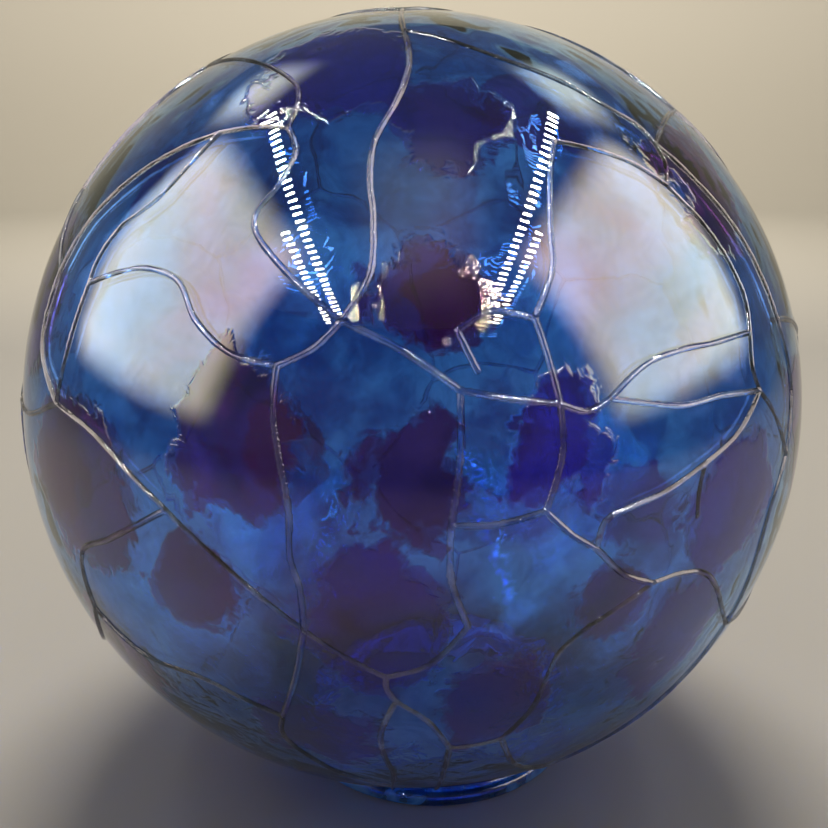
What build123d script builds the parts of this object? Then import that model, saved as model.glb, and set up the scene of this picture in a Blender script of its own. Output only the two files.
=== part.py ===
from build123d import *
from math import asin, cos, degrees, hypot, radians, sin
import os

# Hand-blown glass globe with a honeycomb web, standing on its fitter collar.
# Millimetres, +Z up. The origin is the centre of the collar, in the plane of its rim.

# Driving dimensions
ball_r = 101.5  # an 8 inch ball
wall = 3.0  # thickness of the blue bubble
lean = 6.0  # how far the ball sits to the left of its collar
rim_gap = 1.5  # from the rim's plane up to the ball's (cut away) south pole

lip_r = 41.25  # outside of the turned-out lip: a 3 1/4 inch fitter
lip_h = 4.0  # height of the lip
lip_flare = 2.25  # how far the lip stands out from the neck
neck_wall = 4.0  # thickness of the neck
edge_r = 0.8  # fire-polished edges of the lip and the mouth

inlay_depth = 1.2  # how deep the violet patches are melted into the bubble
thread_w = 1.0  # half the width of a web thread
thread_h = 0.85  # how far a thread stands proud of the ball
bead_r = 1.3  # least radius of the bead of glass where threads meet, bend or end
bead_h = 0.95  # how far a bead stands proud of the ball
laid_gap = 0.02  # hair's breadth between the ball and what is laid on it

# Worked out from them
ball_z = ball_r + rim_gap
ball_centre = Vector(-lean, 0, ball_z)
neck_r = lip_r - lip_flare
bore_r = neck_r - neck_wall

os.makedirs("parts", exist_ok=True)


def on_ball(longitude, latitude, radius=ball_r):
    """A point on the ball: longitude 0 faces the front (-Y) and grows to the right (+X)."""
    east, up = radians(longitude), radians(latitude)
    way = Vector(sin(east) * cos(up), -cos(east) * cos(up), sin(up))
    return ball_centre + way * radius


def write(part, name):
    part.label = name
    export_step(part, f"parts/{name}.step")


# Fitter collar: a ring of blue glass under the ball, with a lip turned out at the rim.
# Its top is cut to the ball, so it is taller on the side that the ball leans away from.
with BuildPart() as fitter_collar:
    with BuildSketch(Plane.XZ):
        with BuildLine():
            Polyline(
                (bore_r, 0),
                (lip_r, 0),
                (lip_r, lip_h),
                (neck_r, lip_h + lip_flare / 2),
                (neck_r, ball_z / 4),
                (bore_r, ball_z / 4),
                close=True,
            )
        make_face()
    revolve(axis=Axis.Z)
    rim_edges = fitter_collar.edges().filter_by_position(Axis.Z, 0, 0)
    lip_edges = fitter_collar.edges().filter_by_position(Axis.Z, lip_h, lip_h)
    fillet(rim_edges + lip_edges, radius=edge_r)
    with Locations(ball_centre):
        Sphere(ball_r, mode=Mode.SUBTRACT)
write(fitter_collar.part, "fitter_collar")

# Violet patches: chips of amethyst glass, picked up hot and melted flush into the bubble.
# Each outline is a closed curve through points at even turns about the patch's centre,
# at the radii given, all in degrees seen from the ball's centre.
patches = {
    "patch_crown_left": (-17, 61, (9, 8, 7, 9, 11, 9)),
    "patch_crown_right": (8, 50, (6, 5, 7, 7, 6, 5)),
    "patch_shoulder_right": (51, 40, (6, 9, 8, 6, 9, 8)),
    "patch_shoulder_left": (-66, 24, (7, 9, 8, 6, 9, 10)),
    "patch_brow": (1, 27, (7, 5, 5, 6, 5, 4)),
    "patch_cheek_left": (-20, 12, (5, 7, 8, 6, 8, 8)),
    "patch_cheek_right": (16, 12, (4, 5, 4, 3, 5, 4)),
    "patch_middle": (-1, 9, (4, 7, 6, 4, 6, 7)),
    "patch_belly": (-4, -8, (8, 7, 8, 7, 7, 7)),
    "patch_belly_right": (10, -20, (6, 7, 6, 5, 7, 6)),
    "patch_waist_left": (-46, 2, (13, 9, 10, 11, 8, 9)),
    "patch_waist_right": (39, 0, (9, 9, 6, 6, 7, 6)),
    "patch_chip_right": (23, -6, (4, 5, 4, 4, 5, 4)),
    "patch_chip_left": (-26, -5, (4, 3, 5, 4, 5, 4)),
    "patch_hip_right": (34, -17, (6, 7, 7, 5, 8, 7)),
    "patch_hip_left": (-46, -24, (7, 5, 7, 8, 5, 6)),
    "patch_hip_front": (-11, -28, (6, 5, 6, 7, 5, 6)),
    "patch_flank_right": (66, 4, (6, 8, 9, 6, 8, 7)),
    "patch_flank_left": (-84, -8, (9, 7, 9, 10, 8, 7)),
    "patch_back_high": (140, 52, (12, 9, 10, 12, 9, 8)),
    "patch_back_right": (112, 12, (9, 11, 8, 9, 12, 10)),
    "patch_back_middle": (172, 6, (10, 8, 11, 9, 10, 12)),
    "patch_back_left": (-118, 34, (11, 9, 8, 12, 9, 9)),
    "patch_back_low": (-148, -26, (9, 11, 10, 8, 9, 8)),
    "patch_back_hip": (120, -30, (8, 7, 9, 10, 7, 8)),
}
plane_share = 0.7  # the outlines' planes stand this share of the radius from the centre


def melt_in(longitude, latitude, radii):
    """A patch: the outline, carried straight out through the ball's outer skin."""
    outward = (on_ball(longitude, latitude) - ball_centre).normalized()
    base = Plane(
        origin=ball_centre + outward * ball_r * plane_share,
        x_dir=Vector(0, 0, 1).cross(outward),
        z_dir=outward,
    )
    turn = 360 / len(radii)
    rims = [
        (
            ball_r * sin(radians(radius)) * cos(radians(number * turn)),
            ball_r * sin(radians(radius)) * sin(radians(number * turn)),
        )
        for number, radius in enumerate(radii)
    ]
    with BuildPart() as chip:
        with BuildSketch(base):
            with BuildLine():
                Spline(*rims, periodic=True)
            make_face()
        extrude(amount=ball_r)
        with Locations(ball_centre):
            Sphere(ball_r, mode=Mode.INTERSECT)
            Sphere(ball_r - inlay_depth, mode=Mode.SUBTRACT)
    return chip.part


chips = {}
for name, (longitude, latitude, radii) in patches.items():
    chips[name] = melt_in(longitude, latitude, radii)
    write(chips[name], name)

# Globe shell: the blue bubble, open below at the collar's bore, with a shallow
# pocket in its skin for each patch.
with BuildPart() as globe_shell:
    with Locations(ball_centre):
        Sphere(ball_r)
        Sphere(ball_r - wall, mode=Mode.SUBTRACT)
    Cylinder(bore_r, ball_z, align=(Align.CENTER, Align.CENTER, Align.MIN), mode=Mode.SUBTRACT)
    add(list(chips.values()), mode=Mode.SUBTRACT)
write(globe_shell.part, "globe_shell")

# The web: clear threads laid on the hot ball, which meet at forks and leave large
# five- and six-sided cells between them. Forks, as (longitude, latitude) in degrees,
# are lettered by place and numbered from the front round to the right:
# t top, s shoulder, w waist, b belly, f foot.
forks = {
    "t1": (-10, 83), "t2": (120, 80), "t3": (80, 69), "t4": (-125, 70), "t5": (-75, 60),
    "s1": (-3, 69), "s2": (45, 45), "s3": (41, 39), "s4": (23, 46), "s5": (72, 50),
    "s6": (88, 30), "s7": (118, 54), "s8": (108, 36), "s9": (150, 48), "s10": (178, 60),
    "s11": (-150, 52), "s12": (-118, 50), "s13": (-100, 42), "s14": (-76, 36),
    "s15": (-34, 47), "s16": (-21, 48), "s17": (14, 25), "s18": (5, 24),
    "w1": (-8, 25), "w2": (5, 18), "w3": (14, 5), "w4": (16, 16), "w5": (22, 16),
    "w6": (20, 0), "w7": (35, 7), "w8": (47, 13), "w9": (47, 20), "w10": (57, 20),
    "w11": (55, 3), "w12": (76, 14), "w13": (122, 14), "w14": (146, 10), "w15": (156, 28),
    "w16": (-178, 20), "w17": (-158, 32), "w18": (-138, 18), "w19": (-112, 24),
    "w20": (-92, 10), "w21": (-72, 6), "w22": (-58, 26), "w23": (-49, 11),
    "w24": (-47, 26), "w25": (-28, 3), "w26": (-15, 20), "w27": (4, 4),
    "b1": (-12, -9), "b2": (-3, -15), "b3": (6, -8), "b4": (-2, -19), "b5": (20, -10),
    "b6": (28, -6), "b7": (49, -20), "b8": (72, -20), "b9": (84, -4), "b10": (104, -8),
    "b11": (110, -30), "b12": (138, -32), "b13": (152, -10), "b14": (176, -12),
    "b15": (-168, -34), "b16": (-140, -8), "b17": (-116, -20), "b18": (-96, -16),
    "b19": (-72, -16), "b20": (-62, -30), "b21": (-47, -16), "b22": (-17, -24),
    "f1": (-4, -45), "f2": (5, -29), "f3": (12, -28), "f4": (28, -46), "f5": (74, -46),
    "f6": (165, -52), "f7": (-125, -50), "f8": (-70, -50),
}

# Threads, web by web. Each is an odd number of points, forks by name and bends by
# place, and every three in turn (the third starting the next) lie on one arc.
threads = {
    "web_front": [
        ["w1", (-11, 22), "w26"],
        ["w1", (-1, 22), "w2"],
        ["w26", (-15, 15), (-14, 10), (-13, 5), (-13, 0), (-12, -4), "b1"],
        ["w2", (5, 12), "w27"],
        ["w27", (4, -2), "b3"],
        ["b1", (-8, -12), "b2"],
        ["b2", (2, -13), "b3"],
        ["b2", (-3, -17), "b4"],
        ["w3", (9, 4), "w27"],
        ["w3", (16, 11), "w4"],
        ["w2", (10, 17), "w4"],
        ["w4", (19, 15), "w5"],
        ["w3", (17, 2), "w6"],
        ["w6", (24, -4), "b6"],
        ["b5", (24, -8), "b6"],
        ["s18", (6, 22), (7, 20)],
        ["s18", (9, 26), "s17"],
        ["s17", (15, 21), "w4"],
    ],
    "web_crown": [
        ["t1", (-6, 76), "s1"],
        ["s1", (-1, 63), (-1, 58), (-3, 52), (-6, 46), (-6, 41), (-5, 36), (-5, 30), "w1"],
        ["w1", (-14, 29), (-21, 35), (-19, 40), (-18, 44), (-19, 46), "s16"],
        ["s16", (-22, 53), (-28, 57), (-48, 61), "t5"],
        ["s1", (10, 66), (22, 61), (33, 56), (40, 51), (44, 48), "s2"],
        ["s2", (44, 42), "s3"],
        ["s3", (37, 42), (32, 44), (28, 45), "s4"],
        ["s4", (20, 41), (18, 35), (17, 30), "s17"],
        ["t1", (60, 86), "t2"],
        ["t1", (-90, 79), "t4"],
        ["t2", (95, 75), "t3"],
        ["t4", (-98, 66), "t5"],
    ],
    "web_left": [
        ["s16", (-27, 48), "s15"],
        ["s15", (-44, 43), (-52, 37), (-56, 32), "w22"],
        ["w22", (-57, 17), "w23"],
        ["s15", (-39, 38), (-45, 33), (-47, 29), "w24"],
        ["w24", (-48, 18), "w23"],
        ["w26", (-21, 21), (-26, 24), (-30, 28), (-36, 29), (-41, 28), "w24"],
        ["w23", (-39, 9), "w25"],
        ["w25", (-21, -2), "b1"],
        ["w25", (-33, 0), (-38, -3), (-45, -7), "b21"],
        ["b22", (-22, -22), (-28, -20), (-38, -20), "b21"],
        ["b22", (-14, -17), "b1"],
        ["w23", (-60, 7), "w21"],
        ["b21", (-53, -24), "b20"],
    ],
    "web_right": [
        ["w5", (27, 19), (33, 20), (39, 20), "w9"],
        ["w5", (27, 15), (32, 14), (39, 14), "w8"],
        ["s3", (46, 32), (48, 26), (48, 23), "w9"],
        ["w9", (46, 16), "w8"],
        ["w8", (41, 9), "w7"],
        ["w7", (34, 4), (34, 1)],
        ["w6", (21, 3), (24, 4), (29, 5), "w7"],
        ["w8", (51, 9), "w11"],
        ["w11", (58, 11), "w10"],
        ["w10", (54, 32), "s2"],
        ["w11", (51, -3), (50, -9), (50, -15), "b7"],
        ["b6", (33, -6), (38, -8), (45, -16), "b7"],
        ["w10", (66, 18), "w12"],
    ],
    "web_back_right": [
        ["w12", (83, 21), "s6"],
        ["w12", (81, 4), "b9"],
        ["s2", (58, 49), "s5"],
        ["s5", (82, 40), "s6"],
        ["s5", (74, 60), "t3"],
        ["s6", (98, 34), "s8"],
        ["s8", (116, 25), "w13"],
        ["s8", (112, 45), "s7"],
        ["s7", (100, 63), "t3"],
        ["s7", (134, 53), "s9"],
        ["b9", (94, -7), "b10"],
        ["b9", (79, -12), "b8"],
        ["b8", (60, -22), "b7"],
        ["b10", (114, 3), "w13"],
        ["b10", (106, -19), "b11"],
        ["w13", (134, 13), "w14"],
        ["w14", (152, 19), "w15"],
        ["w14", (150, 0), "b13"],
        ["s9", (154, 38), "w15"],
        ["b11", (124, -33), "b12"],
        ["b12", (146, -21), "b13"],
    ],
    "web_back_left": [
        ["t2", (165, 71), "s10"],
        ["s9", (163, 55), "s10"],
        ["s10", (-168, 57), "s11"],
        ["w15", (169, 25), "w16"],
        ["w16", (-169, 27), "w17"],
        ["w16", (180, 4), "b14"],
        ["w17", (-155, 42), "s11"],
        ["w17", (-147, 26), "w18"],
        ["s11", (-134, 53), "s12"],
        ["s12", (-123, 60), "t4"],
        ["s12", (-108, 47), "s13"],
        ["w18", (-124, 23), "w19"],
        ["w18", (-140, 5), "b16"],
        ["w19", (-107, 33), "s13"],
        ["w19", (-101, 18), "w20"],
        ["s13", (-88, 40), "s14"],
        ["s14", (-66, 30), "w22"],
        ["s14", (-74, 48), "t5"],
        ["w20", (-82, 9), "w21"],
        ["w20", (-95, -3), "b18"],
        ["w21", (-71, -5), "b19"],
        ["b13", (164, -9), "b14"],
        ["b14", (-176, -24), "b15"],
        ["b15", (-155, -21), "b16"],
        ["b16", (-128, -15), "b17"],
        ["b17", (-106, -19), "b18"],
        ["b18", (-84, -17), "b19"],
        ["b19", (-66, -22), "b20"],
    ],
    "web_foot": [
        ["b4", (2, -23), "f2"],
        ["b4", (-4, -25), (-4, -31), (-3, -38), "f1"],
        ["f2", (8, -29), "f3"],
        ["f3", (15, -22), (16, -17), (17, -13), "b5"],
        ["b22", (-18, -29), (-15, -35), (-11, -40), "f1"],
        ["f1", (-5, -60), (-8, -80)],
        ["f2", (5, -50), (6, -80)],
        ["f3", (17, -38), "f4"],
        ["f4", (42, -36), "b7"],
        ["f4", (30, -60), (40, -80)],
        ["b8", (74, -33), "f5"],
        ["f5", (94, -41), "b11"],
        ["f5", (78, -62), (90, -80)],
        ["b12", (148, -43), "f6"],
        ["f6", (178, -45), "b15"],
        ["f6", (166, -65), (160, -80)],
        ["b17", (-118, -36), "f7"],
        ["f7", (-98, -53), "f8"],
        ["f7", (-130, -65), (-140, -80)],
        ["b20", (-66, -40), "f8"],
        ["f8", (-72, -64), (-80, -80)],
    ],
}

laid_r = ball_r + laid_gap


def arcs(points):
    """The arc through every three points in turn, as its two ends and its axis."""
    for first, middle, last in zip(points[0::2], points[1::2], points[2::2]):
        normal = (middle - first).cross(last - middle).normalized()
        yield first, last, Axis(ball_centre, normal)


def heading(place, arc_axis):
    """The way along the ball at a place, turning about the arc's axis."""
    return arc_axis.direction.cross(place - ball_centre).normalized()


def bead_size(ways):
    """A bead wide enough that the threads around it don't meet before they reach it."""
    gaps = [one.get_angle(other) for one in ways for other in ways if one is not other]
    return max(bead_r, thread_w / sin(radians(min(gaps, default=180) / 2)))


def lens_section(arc_axis, place, half_width, height):
    """The plane across a thread at a place, and the corners of its lens-shaped section."""
    outward = (place - ball_centre).normalized()
    across = Plane(origin=ball_centre, x_dir=outward, z_dir=heading(place, arc_axis))
    edge = (laid_r * cos(half_width / laid_r), laid_r * sin(half_width / laid_r))
    return across, edge, (ball_r + height, 0)


# Each place where threads meet, bend or end, with the ways that threads leave it.
runs, ways_out = {}, {}
for name, trails in threads.items():
    runs[name] = []
    for trail in trails:
        places = [forks[point] if isinstance(point, str) else point for point in trail]
        for first, last, arc_axis in arcs([on_ball(*place) for place in places]):
            runs[name].append((first, last, arc_axis))
            ways_out.setdefault(tuple(first), []).append(heading(first, arc_axis))
            ways_out.setdefault(tuple(last), []).append(-heading(last, arc_axis))

beaded = set()
for name, web_runs in runs.items():
    pieces = []
    for first, last, arc_axis in web_runs:
        # The thread: a lens-shaped section, turned from the rim of one bead to the next.
        along_axis = (first - ball_centre).dot(arc_axis.direction)
        arc_r = (first - ball_centre - arc_axis.direction * along_axis).length
        full = degrees(2 * asin((last - first).length / 2 / arc_r))
        trims = [
            degrees((bead_size(ways_out[tuple(end)]) + laid_gap) / arc_r) for end in (first, last)
        ]
        spin = Axis((0, 0, 0), arc_axis.direction)
        start = ball_centre + (first - ball_centre).rotate(spin, trims[0])
        across, edge, top = lens_section(arc_axis, start, thread_w, thread_h)
        with BuildPart() as thread:
            with BuildSketch(across):
                with BuildLine():
                    ThreePointArc((edge[0], -edge[1]), top, edge)
                    ThreePointArc(edge, (laid_r, 0), (edge[0], -edge[1]))
                make_face()
            revolve(axis=arc_axis, revolution_arc=full - sum(trims))
            Cylinder(neck_r + laid_gap, ball_z, mode=Mode.SUBTRACT)
        pieces.append(thread.part.solid())
        # The beads at its ends, unless another thread has them already. A thread that
        # runs down to the collar is cut off at the neck, and has no bead there.
        for place in (first, last):
            if tuple(place) in beaded or hypot(place.X, place.Y) < neck_r:
                continue
            beaded.add(tuple(place))
            size = bead_size(ways_out[tuple(place)])
            across, edge, top = lens_section(arc_axis, place, size, bead_h)
            half_way = lens_section(arc_axis, place, size / 2, bead_h)[1]
            with BuildPart() as bead:
                with BuildSketch(across):
                    with BuildLine():
                        TangentArc(top, edge, tangent=(0, 1))
                        ThreePointArc(edge, half_way, (laid_r, 0))
                        Line((laid_r, 0), top)
                    make_face()
                revolve(axis=Axis(ball_centre, place - ball_centre))
            pieces.append(bead.part.solid())
    write(Compound(pieces), name)
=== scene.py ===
# %% [markdown]
# # A blown glass globe with a honeycomb web
# The real thing is a bubble of deep blue glass with violet chips melted into it. Pale threads
# of clear glass are laid over it while it is hot, and they leave a net of large five- and
# six-sided cells. The bubble stands on a short blue collar with a turned-out lip.
# Nothing on it is painted: its look is coloured light that comes through two walls of glass,
# with the studio's lights mirrored in its skin. So this lesson spends its effort on closed,
# thick-walled shapes, on the colour in the glass, and on what there is to mirror.
#
# The construction model comes first. It fixes where everything is, and its box gives the
# sizes of the ball and the collar.

# %% Load the construction model
import math

import bpy
import numpy as np
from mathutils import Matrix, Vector
from mathutils.noise import fractal


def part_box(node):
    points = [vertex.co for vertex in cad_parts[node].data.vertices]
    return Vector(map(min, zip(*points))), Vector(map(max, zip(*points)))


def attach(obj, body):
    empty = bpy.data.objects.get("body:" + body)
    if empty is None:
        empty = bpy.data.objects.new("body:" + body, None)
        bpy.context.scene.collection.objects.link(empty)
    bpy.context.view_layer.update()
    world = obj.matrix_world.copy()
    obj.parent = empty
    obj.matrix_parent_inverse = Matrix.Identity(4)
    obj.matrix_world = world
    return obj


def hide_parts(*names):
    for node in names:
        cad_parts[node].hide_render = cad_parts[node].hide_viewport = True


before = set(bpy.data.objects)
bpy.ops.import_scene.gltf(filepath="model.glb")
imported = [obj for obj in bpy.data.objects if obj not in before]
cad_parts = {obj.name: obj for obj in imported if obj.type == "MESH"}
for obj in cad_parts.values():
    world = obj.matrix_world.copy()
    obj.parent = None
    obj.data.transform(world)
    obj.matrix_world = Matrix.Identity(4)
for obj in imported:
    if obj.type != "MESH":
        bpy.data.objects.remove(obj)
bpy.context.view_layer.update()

MM = 0.001  # Blender works in metres

# %% [markdown]
# ## Where the ball is
# The shell is a sphere cut open below, so half its width is its radius, and its centre lies
# one radius under its top. Places on it are given as on a map: longitude 0 faces the front
# (-Y) and grows to the right, latitude grows upwards.

# %% Measure the ball and the collar
shell_low, shell_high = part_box("globe_shell")
collar_low, collar_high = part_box("fitter_collar")
BALL_R = (shell_high.x - shell_low.x) / 2
BALL = Vector(((shell_low.x + shell_high.x) / 2, 0, shell_high.z - BALL_R))
LIP_R = (collar_high.x - collar_low.x) / 2
WALL = 3.0 * MM
BORE_R = 35.0 * MM
NECK_R = 39.0 * MM
LIP_H = 4.0 * MM


def on_ball(longitude, latitude, radius=BALL_R):
    east, up = math.radians(longitude), math.radians(latitude)
    way = Vector((math.sin(east) * math.cos(up), -math.cos(east) * math.cos(up), math.sin(up)))
    return BALL + way * radius


print(f"ball {BALL_R / MM:.2f} mm, centre", tuple(round(v / MM, 2) for v in BALL))
print(f"lip {LIP_R / MM:.2f} mm")

# %% [markdown]
# ## The camera
# It stands close to the ball, a little above its middle, and looks down on it. The lens is
# somewhat longer than normal. It aims a touch below the ball's centre, so that the ball sits
# high in the frame with its collar in view.

# %% Camera
CAMERA_AWAY = 2.755 * BALL_R
LOOK_DOWN = math.radians(17.0)
AIM_OFF = Vector((0.4, 0, -3.9)) * MM  # from the ball's centre
camera = bpy.data.objects.new("camera", bpy.data.cameras.new("camera"))
bpy.context.scene.collection.objects.link(camera)
camera.data.lens = 43.5
camera.data.sensor_width = 36.0
camera.data.clip_start = 0.01
back = Vector((0, -math.cos(LOOK_DOWN), math.sin(LOOK_DOWN)))
camera.location = BALL + back * CAMERA_AWAY
aim = BALL + AIM_OFF
camera.rotation_euler = (aim - camera.location).to_track_quat("-Z", "Y").to_euler()
bpy.context.scene.camera = camera
print("camera at", tuple(round(v, 3) for v in camera.location))

# %% [markdown]
# ## Helpers for materials
# Colours are written as the hex values that a painter would pick, and one function turns
# them into the linear numbers that Blender computes with. A second function adds a node,
# sets its sockets and joins it to others, so that each material reads as a list of steps.

# %% Colour and node helpers
def colour(hex_value):
    parts = [int(hex_value[i : i + 2], 16) / 255 for i in (1, 3, 5)]
    return [p / 12.92 if p <= 0.04045 else ((p + 0.055) / 1.055) ** 2.4 for p in parts] + [1.0]


def add(tree, kind, links=None, settings=None, **sockets):
    """Adds a node. links joins its inputs, by name or number, to other nodes' outputs."""
    node = tree.nodes.new(kind)
    for name, value in (settings or {}).items():
        setattr(node, name, value)
    for name, value in sockets.items():
        node.inputs[name.replace("_", " ")].default_value = value
    for name, source in (links or {}).items():
        if isinstance(source, bpy.types.NodeSocket):
            tree.links.new(source, node.inputs[name])
        else:
            node.inputs[name].default_value = source
    return node


def new_material(name):
    made = bpy.data.materials.new(name)
    made.use_nodes = True
    made.node_tree.nodes.clear()
    return made, made.node_tree


def finish_material(tree, shader):
    add(tree, "ShaderNodeOutputMaterial", {"Surface": shader.outputs[0]})


print("helpers ready; mid grey #808080 is", [round(v, 3) for v in colour("#808080")[:3]])

# %% [markdown]
# ## The floor
# Glass shows what is around it, so the stage is planned from what the ball mirrors and from
# what is seen through it. The floor is a plain pale disc that curves up into a wall. Most of
# the colour in the ball is light from this floor that has come through both glass walls.

# %% Floor
FLAT_R, SWEEP_R, WALL_UP = 1.5, 0.5, 1.0  # metres: the flat disc, the curve up from it, the wall
STAGE_AROUND = 96
stage_profile = [(0.02, 0.0), (0.5, 0.0), (1.0, 0.0)]
for turn in np.radians(np.linspace(0, 90, 13)):
    stage_profile.append((FLAT_R + SWEEP_R * math.sin(turn), SWEEP_R * (1 - math.cos(turn))))
stage_profile.append((FLAT_R + SWEEP_R, SWEEP_R + WALL_UP))
stage_points, stage_faces = [(0, 0, 0)], []
for number, (radius, height) in enumerate(stage_profile):
    for step in range(STAGE_AROUND):
        turn = step / STAGE_AROUND * 2 * math.pi
        stage_points.append((radius * math.cos(turn), radius * math.sin(turn), height))
        ring = 1 + number * STAGE_AROUND
        one, other = ring + step, ring + (step + 1) % STAGE_AROUND
        inner_one, inner_other = (one - STAGE_AROUND, other - STAGE_AROUND) if number else (0, 0)
        stage_faces.append((inner_one, one, other, inner_other) if number else (0, one, other))
floor_mesh = bpy.data.meshes.new("floor")
floor_mesh.from_pydata(stage_points, [], stage_faces)
floor_mesh.polygons.foreach_set("use_smooth", [True] * len(stage_faces))
floor = bpy.data.objects.new("floor", floor_mesh)
bpy.context.scene.collection.objects.link(floor)
paper, tree = new_material("matt_paper_floor")
shader = add(tree, "ShaderNodeBsdfPrincipled", Base_Color=colour("#777570"), Roughness=0.65)
finish_material(tree, shader)
floor_mesh.materials.append(paper)
print("floor", 2 * FLAT_R, "m across, with a wall", SWEEP_R + WALL_UP, "m high")

# %% [markdown]
# ## Soft boxes
# Two large soft boxes stand to the left and right and make the two broad, milky reflections.
# Two small ones glow at the back ends of the lamp rows, and a faint one hangs overhead and
# greys the blue between the rows. Each is a card that is bright in its middle and fades to
# clear at its edges, so its mirror image has no hard outline.

# %% Soft boxes
def soft_box(name, away, wide, tall, radiance, tint, feather=0.35):
    """A glowing card that faces the ball. radiance is how bright its middle looks, 1 being
    white, and feather is the share of its half width over which it fades towards its edges."""
    turned = (-Vector(away)).to_track_quat("Z", "Y")
    corners = ((-1, -1), (1, -1), (1, 1), (-1, 1))
    middle = BALL + Vector(away)
    points = [middle + turned @ Vector((x * wide / 2, y * tall / 2, 0)) for x, y in corners]
    mesh = bpy.data.meshes.new(name)
    mesh.from_pydata(points, [], [(0, 1, 2, 3)])
    flat_corners = [v for corner in corners for v in corner]
    mesh.uv_layers.new(name="card").data.foreach_set("uv", flat_corners)
    card, tree = new_material(name)
    place = add(tree, "ShaderNodeUVMap").outputs[0]
    across = add(tree, "ShaderNodeSeparateXYZ", {"Vector": place})
    fade = radiance
    for axis in ("X", "Y"):
        off = add(tree, "ShaderNodeMath", {0: across.outputs[axis]}, {"operation": "ABSOLUTE"})
        soft = add(
            tree, "ShaderNodeMapRange",
            {"Value": off.outputs[0]}, {"interpolation_type": "SMOOTHSTEP"},
            From_Min=1 - feather, From_Max=1.0, To_Min=1.0, To_Max=0.0,
        )
        fade = add(
            tree, "ShaderNodeMath", {0: soft.outputs[0], 1: fade}, {"operation": "MULTIPLY"}
        ).outputs[0]
    glowing = add(tree, "ShaderNodeEmission", {"Strength": fade}, Color=colour(tint))
    clear = add(tree, "ShaderNodeBsdfTransparent")
    shader = add(tree, "ShaderNodeAddShader", {0: glowing.outputs[0], 1: clear.outputs[0]})
    finish_material(tree, shader)
    mesh.materials.append(card)
    box = bpy.data.objects.new(name, mesh)
    bpy.context.scene.collection.objects.link(box)
    box.visible_camera = False  # seen in the glass, but not beside it from another side
    box.visible_diffuse = False  # the key light is what lights the floor


SIDE_AWAY, SIDE_WIDE, SIDE_TALL, SIDE_RADIANCE = Vector((0.86, -0.17, 0.52)), 1.2, 1.08, 5.8
GLOW_AWAY, GLOW_WIDE, GLOW_TALL, GLOW_RADIANCE = Vector((0.42, 0.45, 0.75)), 0.42, 0.3, 4.0
OVERHEAD_AWAY, OVERHEAD_WIDE, OVERHEAD_LONG = Vector((0.04, -0.5, 1.08)), 0.8, 1.3
for side, where, tint in ((-1, "left", "#FAEADF"), (1, "right", "#FCECDF")):
    mirrored = Vector((side, 1, 1))
    soft_box("soft_box_" + where, SIDE_AWAY * mirrored, SIDE_WIDE, SIDE_TALL, SIDE_RADIANCE, tint)
    soft_box(
        "glow_over_row_" + where, GLOW_AWAY * mirrored, GLOW_WIDE, GLOW_TALL, GLOW_RADIANCE,
        "#F4EFE8", feather=0.9,
    )
soft_box(
    "overhead_diffuser", OVERHEAD_AWAY, OVERHEAD_WIDE, OVERHEAD_LONG, radiance=0.8,
    tint="#EEF0F4", feather=0.8,
)
print("soft boxes: two at the sides, two glows and one overhead")

# %% [markdown]
# ## Rows of small lamps
# Two rows of small lamps run overhead from back to front on each side, the outer one shorter.
# The ball mirrors them as two bright ladders that close in towards its middle, and the far
# wall mirrors them again, through the blue, as sparks in the lower half. They are there only
# to be mirrored, so they light nothing else.

# %% Rows of small lamps
ROW_UP, ROW_BACK, ROW_FRONT = 1.0, 0.34, -1.30
ROWS = ((0.52, ROW_BACK), (0.62, -0.45))  # how far out each row hangs, and where it ends behind
LAMP_WIDE, LAMP_LONG, LAMP_PITCH = 0.046, 0.012, 0.044
LAMP_RADIANCE = 320.0
lamp_points, lamp_faces = [], []
for side in (-1, 1):
    for out, row_back in ROWS:
        for y in np.arange(ROW_FRONT, row_back, LAMP_PITCH):
            first = len(lamp_points)
            for dx, dy in ((-1, -1), (-1, 1), (1, 1), (1, -1)):
                x = side * out + dx * LAMP_WIDE / 2
                lamp_points.append(BALL + Vector((x, y + dy * LAMP_LONG / 2, ROW_UP)))
            lamp_faces.append((first, first + 1, first + 2, first + 3))
lamp_mesh = bpy.data.meshes.new("lamp_rows")
lamp_mesh.from_pydata(lamp_points, [], lamp_faces)
lamp_rows = bpy.data.objects.new("lamp_rows", lamp_mesh)
bpy.context.scene.collection.objects.link(lamp_rows)
glow, tree = new_material("small_lamps")
shader = add(tree, "ShaderNodeEmission", Color=colour("#FFFFFF"), Strength=LAMP_RADIANCE)
finish_material(tree, shader)
lamp_mesh.materials.append(glow)
lamp_rows.visible_camera = False
lamp_rows.visible_diffuse = False
print("lamps in the rows:", len(lamp_faces))

# %% [markdown]
# ## Light for the floor and the wall
# The key light hangs behind and above the ball. It lights the floor there, which is what
# shows through the glass, and leaves the ball's shadow in front, which is what its lower half
# mirrors. Mirror rays pass it by, so it makes no spot of its own on the ball. A second light
# washes the wall behind and faces away from the ball. The rest of the room stays dim, so that
# the colour of the glass isn't washed out.

# %% Key light, wash and room
def panel_light(name, place, facing, size, watts, tint):
    light = bpy.data.objects.new(name, bpy.data.lights.new(name, "AREA"))
    light.data.size = size
    light.data.energy = watts
    light.data.color = colour(tint)[:3]
    light.location = place
    light.rotation_euler = Vector(facing).to_track_quat("-Z", "Y").to_euler()
    bpy.context.scene.collection.objects.link(light)
    return light


panel_light("backdrop_wash", (0, 0.75, 1.1), (0, 1.0, -0.25), 0.8, watts=56.0, tint="#FFF3DC")
key = panel_light("key_light", (0, 0.5, 1.2), (0, -0.4, -1.2), 0.55, watts=36.0, tint="#FFF8EE")
key.visible_glossy = False
key.visible_transmission = False

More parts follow.
